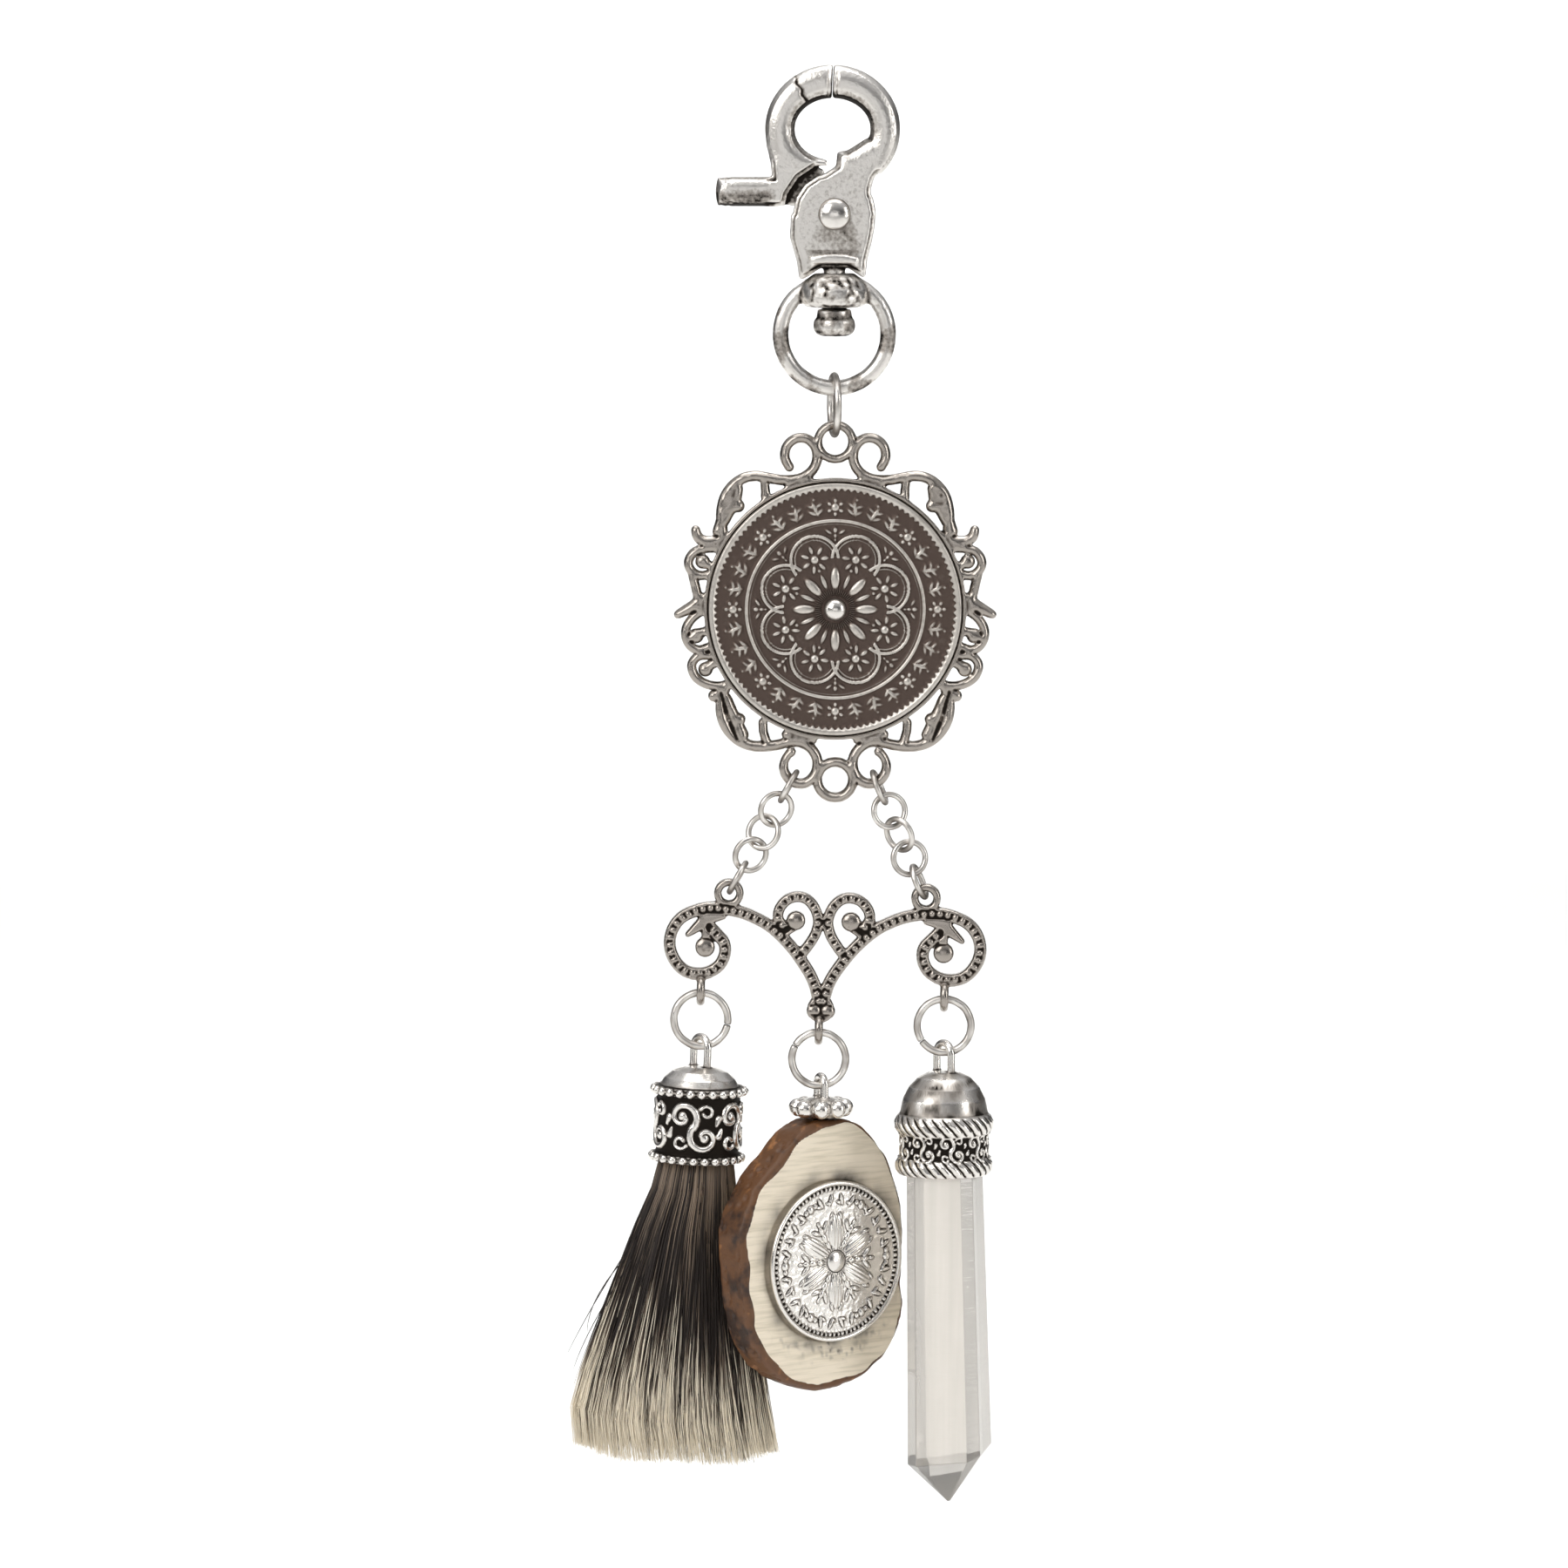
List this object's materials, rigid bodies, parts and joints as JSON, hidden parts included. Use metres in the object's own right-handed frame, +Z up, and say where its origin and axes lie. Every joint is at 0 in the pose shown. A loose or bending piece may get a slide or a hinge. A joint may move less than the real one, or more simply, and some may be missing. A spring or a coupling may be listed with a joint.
{
  "type": "charivari charm chain",
  "caption": "Silver charivari charm chain: trigger hook, coin medallion in a scroll frame, chains, scrolled bar with hair tassel, antler slice and crystal drop.",
  "frame": {"origin": "the point of the hook's eye that the chain hangs from, at the top of the hole, midway through the hook's thickness", "axes": "+Z up along the hanging chain, +X to the right as seen from the front, +Y away from the viewer"},
  "size_m": [0.046, 0.0161, 0.1551],
  "materials": {
    "hook_silver": "worn",
    "frame_silver": "antiqued",
    "coin_silver": "darkened",
    "link_silver": "polished",
    "ring_silver": "polished",
    "bar_silver": "hammered",
    "cap_silver": "antiqued",
    "bright_silver": "polished",
    "hair": "brushed",
    "antler": "cut and polished",
    "crystal": "cut and polished"
  },
  "bodies": {
    "hook": {"hook_body": "hook_silver", "hook_rivet": "hook_silver"},
    "lever": {"hook_lever": "hook_silver"},
    "swivel": {"swivel_ring": "hook_silver"},
    "pendant": {"top_link": "ring_silver", "medallion_frame": "frame_silver", "medallion_coin": "coin_silver", "coin_rivet": "coin_silver", "chain_left_1": "link_silver", "chain_left_2": "link_silver", "chain_left_3": "link_silver", "chain_left_4": "link_silver", "chain_left_5": "link_silver", "chain_right_1": "link_silver", "chain_right_2": "link_silver", "chain_right_3": "link_silver", "chain_right_4": "link_silver", "chain_right_5": "link_silver", "scroll_bar": "bar_silver"},
    "tassel": {"tassel_ring": "ring_silver", "tassel_cap": "cap_silver", "tassel_hair": "hair"},
    "antler": {"antler_ring": "ring_silver", "antler_bail": "cap_silver", "antler_slice": "antler", "antler_coin": "bright_silver"},
    "crystal": {"crystal_ring": "ring_silver", "crystal_cap": "cap_silver", "crystal_drop": "crystal"}
  },
  "joints": [
    {"name": "lever_pivot", "type": "hinge", "parent": "hook", "child": "lever", "pos_m": [0.0004, 0, -0.0123], "axis": [0, -1, 0], "range_deg": [0, 22], "stiffness_Nm_per_rad": 0.004, "springref_deg": -20.05},
    {"name": "swivel_turn", "type": "hinge", "parent": "hook", "child": "swivel", "pos_m": [0.0004, 0, -0.0223], "axis": [0, 0, 1], "continuous": true},
    {"name": "pendant_swing", "type": "hinge", "parent": "swivel", "child": "pendant", "pos_m": [0.0004, 0, -0.0309], "axis": [1, 0, 0], "range_deg": [-45, 45]},
    {"name": "tassel_swing", "type": "hinge", "parent": "pendant", "child": "tassel", "pos_m": [-0.01393, 0, -0.09601], "axis": [1, 0, 0], "range_deg": [0, 60]},
    {"name": "antler_swing", "type": "hinge", "parent": "pendant", "child": "antler", "pos_m": [-0.00124, 0, -0.10029], "axis": [1, 0, 0], "range_deg": [-60, 0]},
    {"name": "crystal_swing", "type": "hinge", "parent": "pendant", "child": "crystal", "pos_m": [0.01226, 0, -0.0967], "axis": [1, 0, 0], "range_deg": [-60, 60]}
  ]
}
